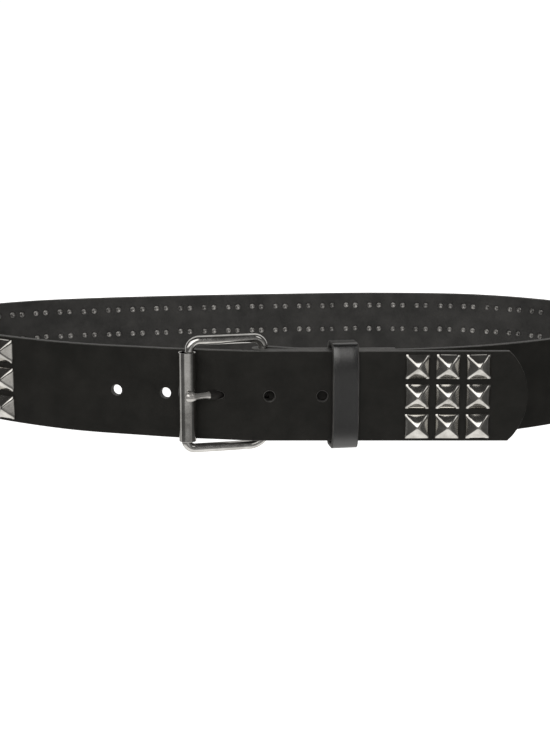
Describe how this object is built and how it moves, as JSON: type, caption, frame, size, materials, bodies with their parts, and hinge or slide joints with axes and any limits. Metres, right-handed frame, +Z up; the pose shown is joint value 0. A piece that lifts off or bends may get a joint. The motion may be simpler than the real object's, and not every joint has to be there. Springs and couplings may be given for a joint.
{
  "type": "studded belt",
  "caption": "Leather belt with rows of pyramid studs, fastened into a closed loop by a wire roller buckle, with a leather keeper and a studded tip.",
  "frame": {"origin": "centre of the bounding box at its lowest level, where the belt rests on a surface", "axes": "+Z up, -Y the front with the buckle, +X to the right of someone who faces the buckle"},
  "size_m": [0.379, 0.2142, 0.0574],
  "materials": {
    "black_leather": "satin",
    "nickel": "polished"
  },
  "bodies": {
    "belt": {"strap": "black_leather", "buckle_frame": "nickel", "tongue": "nickel", "keeper": "black_leather", "fold_rivet_1": "nickel", "fold_rivet_2": "nickel", "tip_stud_r1c1": "nickel", "tip_stud_r1c2": "nickel", "tip_stud_r1c3": "nickel", "tip_stud_r2c1": "nickel", "tip_stud_r2c2": "nickel", "tip_stud_r2c3": "nickel", "tip_stud_r3c1": "nickel", "tip_stud_r3c2": "nickel", "tip_stud_r3c3": "nickel"},
    "roller": {"roller": "nickel"}
  },
  "joints": [
    {"name": "roller_spin", "type": "hinge", "parent": "belt", "child": "roller", "pos_m": [-0.044, -0.09948, 0.02812], "axis": [0, 0.032, 0.9995], "continuous": true}
  ]
}
